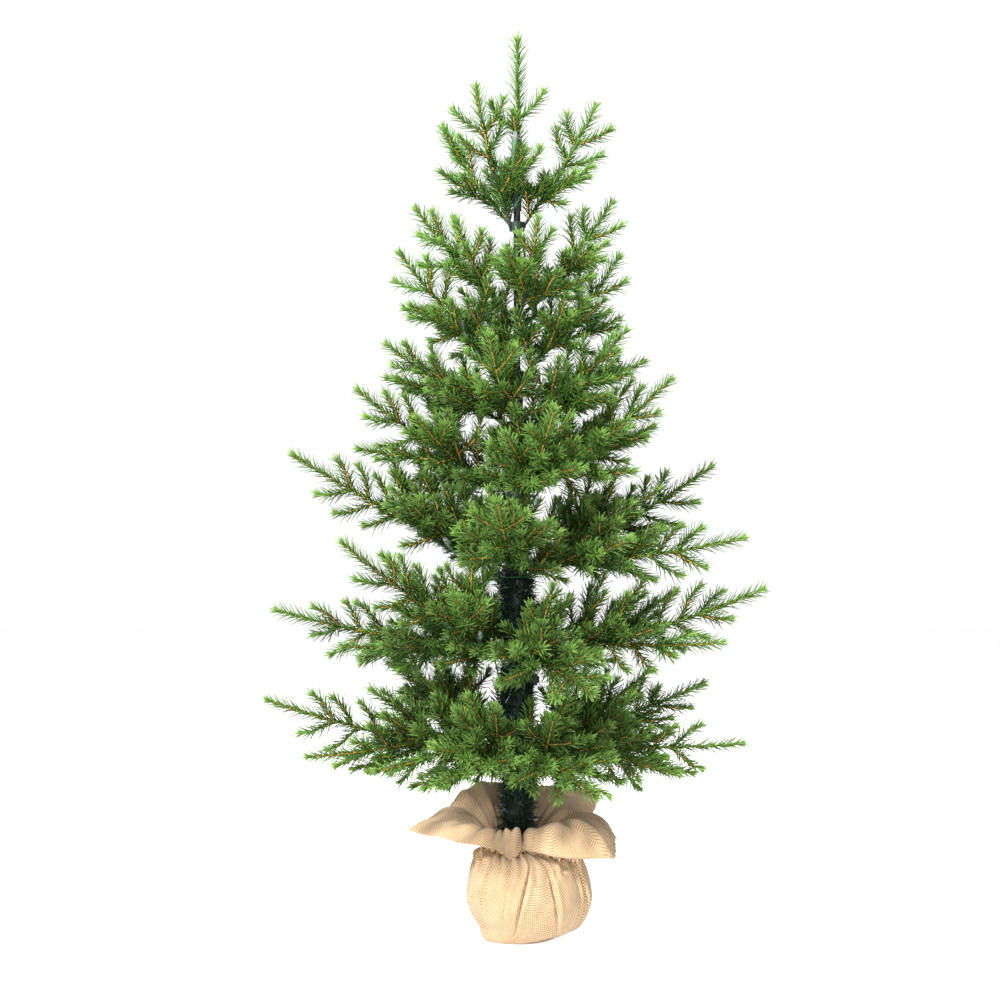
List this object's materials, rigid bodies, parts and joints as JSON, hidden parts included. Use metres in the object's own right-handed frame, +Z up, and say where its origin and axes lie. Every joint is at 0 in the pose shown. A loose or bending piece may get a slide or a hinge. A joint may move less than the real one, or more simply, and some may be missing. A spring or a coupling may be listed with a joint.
{
  "type": "artificial tabletop tree",
  "caption": "Small lit artificial spruce with bendable branches on a two-piece pole, standing in a weighted pot wrapped in gathered burlap.",
  "frame": {"origin": "middle of the base's underside, on the pole's axis", "axes": "+Z up along the pole, -Y towards the front"},
  "size_m": [0.5027, 0.3768, 0.9],
  "materials": {
    "pot": "moulded plastic pot",
    "cement": "poured cement",
    "socket": "plastic tube",
    "burlap": "plain woven jute",
    "twine": "jute twine",
    "pole": "dark painted steel tube",
    "rod": "steel rod",
    "collar": "dark green plastic",
    "needles": "moulded polyethylene needles",
    "garland": "cut PVC film tinsel",
    "cord": "green insulated wire",
    "case": "dark green plastic",
    "button": "black plastic",
    "cell": "plain wrapped dry cell",
    "contact": "plated spring steel"
  },
  "bodies": {
    "trunk": {"battery_case": "case", "battery_cell_left": "cell", "battery_cell_right": "cell", "battery_contact": "contact", "burlap_wrap": "burlap", "cement_weight": "cement", "collar_a": "collar", "collar_b": "collar", "collar_c": "collar", "collar_d": "collar", "collar_e": "collar", "collar_f": "collar", "collar_g": "collar", "collar_h": "collar", "garland_below_d": "garland", "garland_below_e": "garland", "garland_below_f": "garland", "garland_below_g": "garland", "garland_below_h": "garland", "leader": "needles", "light_cord": "cord", "lower_pole": "pole", "neck_tie": "twine", "pole_socket": "socket", "pot": "pot", "upper_rod": "rod"},
    "h_left": {"branch_h_left": "needles"},
    "h_front_left": {"branch_h_front_left": "needles"},
    "h_front_right": {"branch_h_front_right": "needles"},
    "h_right": {"branch_h_right": "needles"},
    "h_back_right": {"branch_h_back_right": "needles"},
    "h_back_left": {"branch_h_back_left": "needles"},
    "g_left": {"branch_g_left": "needles"},
    "g_front_left": {"branch_g_front_left": "needles"},
    "g_front_right": {"branch_g_front_right": "needles"},
    "g_right": {"branch_g_right": "needles"},
    "g_back": {"branch_g_back": "needles"},
    "f_left": {"branch_f_left": "needles"},
    "f_front": {"branch_f_front": "needles"},
    "f_right_low": {"branch_f_right_low": "needles"},
    "f_right": {"branch_f_right": "needles"},
    "f_back_left": {"branch_f_back_left": "needles"},
    "e_left": {"branch_e_left": "needles"},
    "e_front_right": {"branch_e_front_right": "needles"},
    "e_right": {"branch_e_right": "needles"},
    "e_back": {"branch_e_back": "needles"},
    "d_left": {"branch_d_left": "needles"},
    "d_front": {"branch_d_front": "needles"},
    "d_right": {"branch_d_right": "needles"},
    "c_left": {"branch_c_left": "needles"},
    "c_right": {"branch_c_right": "needles"},
    "c_back": {"branch_c_back": "needles"},
    "b_left": {"branch_b_left": "needles"},
    "b_front": {"branch_b_front": "needles"},
    "b_right": {"branch_b_right": "needles"},
    "a_left_high": {"branch_a_left_high": "needles"},
    "a_left_low": {"branch_a_left_low": "needles"},
    "a_right": {"branch_a_right": "needles"},
    "cover": {"battery_cover": "case"},
    "button": {"power_button": "button"}
  },
  "joints": [
    {"name": "h_left_bend", "type": "hinge", "parent": "trunk", "child": "h_left", "pos_m": [-0.00965, -0.00101, 0.192], "axis": [-0.1045, 0.9945, 0], "range_deg": [-20, 5], "deforming": ["light_cord"]},
    {"name": "h_front_left_bend", "type": "hinge", "parent": "trunk", "child": "h_front_left", "pos_m": [-0.0044, -0.00864, 0.192], "axis": [-0.891, 0.454, 0], "range_deg": [-20, 30]},
    {"name": "h_front_right_bend", "type": "hinge", "parent": "trunk", "child": "h_front_right", "pos_m": [0.00455, -0.00856, 0.192], "axis": [-0.8829, -0.4695, 0], "range_deg": [-20, 30]},
    {"name": "h_right_bend", "type": "hinge", "parent": "trunk", "child": "h_right", "pos_m": [0.00965, -0.00101, 0.192], "axis": [-0.1045, -0.9945, 0], "range_deg": [-20, 10], "deforming": ["light_cord"]},
    {"name": "h_back_right_bend", "type": "hinge", "parent": "trunk", "child": "h_back_right", "pos_m": [0.00823, 0.00514, 0.192], "axis": [0.5299, -0.848, 0], "range_deg": [-10, 30]},
    {"name": "h_back_left_bend", "type": "hinge", "parent": "trunk", "child": "h_back_left", "pos_m": [-0.00795, 0.00556, 0.192], "axis": [0.5736, 0.8192, 0], "range_deg": [-5, 10], "deforming": ["light_cord"]},
    {"name": "g_left_bend", "type": "hinge", "parent": "trunk", "child": "g_left", "pos_m": [-0.00968, 0.00068, 0.28], "axis": [0.0698, 0.9976, 0], "range_deg": [-15, 25]},
    {"name": "g_front_left_bend", "type": "hinge", "parent": "trunk", "child": "g_front_left", "pos_m": [-0.00823, -0.00514, 0.28], "axis": [-0.5299, 0.848, 0], "range_deg": [-20, 10], "deforming": ["light_cord"]},
    {"name": "g_front_right_bend", "type": "hinge", "parent": "trunk", "child": "g_front_right", "pos_m": [0.00332, -0.00911, 0.28], "axis": [-0.9397, -0.342, 0], "range_deg": [-20, 30]},
    {"name": "g_right_bend", "type": "hinge", "parent": "trunk", "child": "g_right", "pos_m": [0.00955, -0.00168, 0.28], "axis": [-0.1736, -0.9848, 0], "range_deg": [-20, 15], "deforming": ["light_cord"]},
    {"name": "g_back_bend", "type": "hinge", "parent": "trunk", "child": "g_back", "pos_m": [-0.00034, 0.00969, 0.28], "axis": [0.9994, 0.0349, 0], "range_deg": [-20, 25]},
    {"name": "f_left_bend", "type": "hinge", "parent": "trunk", "child": "f_left", "pos_m": [-0.00968, -0.00068, 0.368], "axis": [-0.0698, 0.9976, 0], "range_deg": [-20, 20], "deforming": ["light_cord"]},
    {"name": "f_front_bend", "type": "hinge", "parent": "trunk", "child": "f_front", "pos_m": [-0.00135, -0.00961, 0.368], "axis": [-0.9903, 0.1392, 0], "range_deg": [-20, 30]},
    {"name": "f_right_low_bend", "type": "hinge", "parent": "trunk", "child": "f_right_low", "pos_m": [0.00932, -0.00267, 0.368], "axis": [-0.2756, -0.9613, 0], "range_deg": [-20, 10]},
    {"name": "f_right_bend", "type": "hinge", "parent": "trunk", "child": "f_right", "pos_m": [0.00899, 0.00363, 0.368], "axis": [0.3746, -0.9272, 0], "range_deg": [-10, 25], "deforming": ["light_cord"]},
    {"name": "f_back_left_bend", "type": "hinge", "parent": "trunk", "child": "f_back_left", "pos_m": [-0.00425, 0.00872, 0.368], "axis": [0.8988, 0.4384, 0], "range_deg": [-20, 25]},
    {"name": "e_left_bend", "type": "hinge", "parent": "trunk", "child": "e_left", "pos_m": [-0.00961, -0.00135, 0.442], "axis": [-0.1392, 0.9903, 0], "range_deg": [-20, 15], "deforming": ["light_cord"]},
    {"name": "e_front_right_bend", "type": "hinge", "parent": "trunk", "child": "e_front_right", "pos_m": [0.003, -0.00923, 0.442], "axis": [-0.9511, -0.309, 0], "range_deg": [-20, 30]},
    {"name": "e_right_bend", "type": "hinge", "parent": "trunk", "child": "e_right", "pos_m": [0.00961, -0.00135, 0.442], "axis": [-0.1392, -0.9903, 0], "range_deg": [-20, 5], "deforming": ["light_cord"]},
    {"name": "e_back_bend", "type": "hinge", "parent": "trunk", "child": "e_back", "pos_m": [0.00202, 0.00949, 0.442], "axis": [0.9781, -0.2079, 0], "range_deg": [-20, 30]},
    {"name": "d_left_bend", "type": "hinge", "parent": "trunk", "child": "d_left", "pos_m": [-0.00969, 0.00034, 0.51], "axis": [0.0349, 0.9994, 0], "range_deg": [-20, 5]},
    {"name": "d_front_bend", "type": "hinge", "parent": "trunk", "child": "d_front", "pos_m": [-0.00332, -0.00911, 0.51], "axis": [-0.9397, 0.342, 0], "range_deg": [-20, 30]},
    {"name": "d_right_bend", "type": "hinge", "parent": "trunk", "child": "d_right", "pos_m": [0.00911, -0.00332, 0.51], "axis": [-0.342, -0.9397, 0], "range_deg": [-20, 15], "deforming": ["light_cord"]},
    {"name": "c_left_bend", "type": "hinge", "parent": "trunk", "child": "c_left", "pos_m": [-0.00658, -0.00239, 0.56], "axis": [-0.342, 0.9397, 0], "range_deg": [-20, 10], "deforming": ["light_cord"]},
    {"name": "c_right_bend", "type": "hinge", "parent": "trunk", "child": "c_right", "pos_m": [0.00689, 0.00122, 0.56], "axis": [0.1736, -0.9848, 0], "range_deg": [-20, 5]},
    {"name": "c_back_bend", "type": "hinge", "parent": "trunk", "child": "c_back", "pos_m": [-0.0035, 0.00606, 0.56], "axis": [0.866, 0.5, 0], "range_deg": [-20, 25]},
    {"name": "b_left_bend", "type": "hinge", "parent": "trunk", "child": "b_left", "pos_m": [-0.00693, 0.00097, 0.62], "axis": [0.1392, 0.9903, 0], "range_deg": [-20, 15]},
    {"name": "b_front_bend", "type": "hinge", "parent": "trunk", "child": "b_front", "pos_m": [0.00239, -0.00658, 0.62], "axis": [-0.9397, -0.342, 0], "range_deg": [-20, 25]},
    {"name": "b_right_bend", "type": "hinge", "parent": "trunk", "child": "b_right", "pos_m": [0.00666, 0.00216, 0.62], "axis": [0.309, -0.9511, 0], "range_deg": [-10, 20], "deforming": ["light_cord"]},
    {"name": "a_left_high_bend", "type": "hinge", "parent": "trunk", "child": "a_left_high", "pos_m": [-0.00594, -0.00371, 0.708], "axis": [-0.5299, 0.848, 0], "range_deg": [-20, 10]},
    {"name": "a_left_low_bend", "type": "hinge", "parent": "trunk", "child": "a_left_low", "pos_m": [-0.00552, 0.00431, 0.708], "axis": [0.6157, 0.788, 0], "range_deg": [-20, 20]},
    {"name": "a_right_bend", "type": "hinge", "parent": "trunk", "child": "a_right", "pos_m": [0.00639, 0.00285, 0.708], "axis": [0.4067, -0.9135, 0], "range_deg": [-20, 30]},
    {"name": "cover_slide", "type": "slide", "parent": "trunk", "child": "cover", "axis": [0, 0, -1], "range_m": [0, 0.05]},
    {"name": "button_press", "type": "slide", "parent": "trunk", "child": "button", "axis": [-1, 0, 0], "range_m": [0, 0.001], "stiffness_N_per_m": 120}
  ]
}
